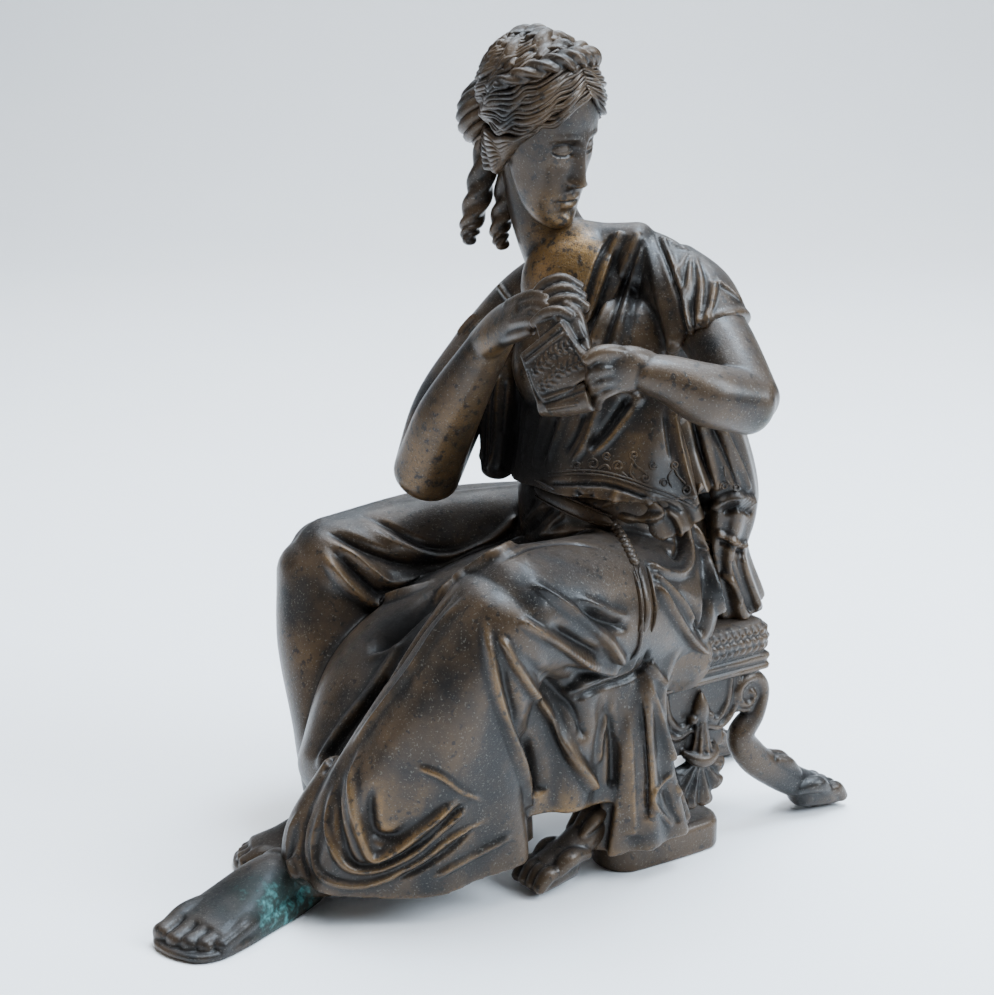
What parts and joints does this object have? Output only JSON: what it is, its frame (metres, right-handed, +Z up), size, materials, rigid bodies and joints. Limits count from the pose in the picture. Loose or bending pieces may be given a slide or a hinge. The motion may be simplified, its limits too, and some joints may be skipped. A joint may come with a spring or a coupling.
{
  "type": "spelter statuette",
  "caption": "Cast metal statuette of a draped woman seated on a low lion-paw stool, folding a piece of embroidered cloth in both hands.",
  "frame": {"origin": "middle of the footprint box, on the surface that the statuette stands on", "axes": "+Z up, -Y to the front that the statuette is shown from, +X to the right of that view"},
  "size_m": [0.2908, 0.2296, 0.3464],
  "materials": {
    "figure_metal": "dark brown bronzed patina on spelter, rubbed to golden brown on the high spots",
    "stool_metal": "dark grey-brown bronzed patina on spelter, dusty in the hollows"
  },
  "bodies": {
    "root": {"figure": "figure_metal", "stool": "stool_metal"}
  },
  "joints": []
}
